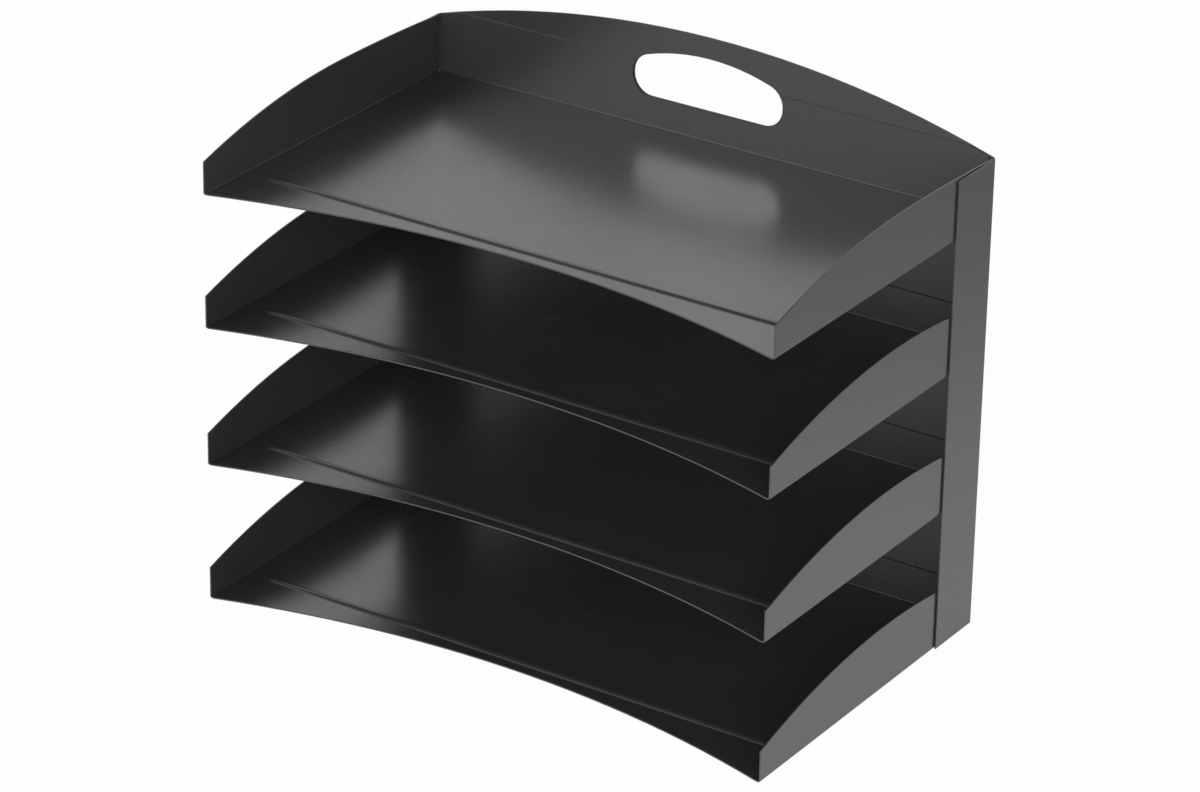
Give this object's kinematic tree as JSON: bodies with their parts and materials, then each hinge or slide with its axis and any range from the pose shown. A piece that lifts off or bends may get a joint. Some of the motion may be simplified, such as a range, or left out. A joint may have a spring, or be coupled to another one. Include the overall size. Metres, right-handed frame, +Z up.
{
  "type": "letter tray stack",
  "caption": "Stack of open sheet-metal letter trays with hollowed front edges, held by a shallow rear case whose arched back carries a handle hole.",
  "frame": {"origin": "on the surface that the part stands on, under the middle of its bounding box", "axes": "+Z up, +X to the right seen from the front, +Y to the back; the trays open towards -Y"},
  "size_m": [0.3722, 0.2294, 0.3164],
  "materials": {
    "powder_coat": "black powder coat, semi-gloss",
    "blackened_steel": "black zinc, satin",
    "foot_rubber": "matt"
  },
  "bodies": {
    "root": {"back_case": "powder_coat", "top_tray": "powder_coat", "second_tray": "powder_coat", "third_tray": "powder_coat", "bottom_tray": "powder_coat", "second_tray_screws": "blackened_steel", "third_tray_screws": "blackened_steel", "bottom_tray_screws": "blackened_steel", "second_tray_nuts": "blackened_steel", "third_tray_nuts": "blackened_steel", "bottom_tray_nuts": "blackened_steel", "front_left_foot": "foot_rubber", "front_right_foot": "foot_rubber", "rear_left_foot": "foot_rubber", "rear_right_foot": "foot_rubber"}
  },
  "joints": []
}
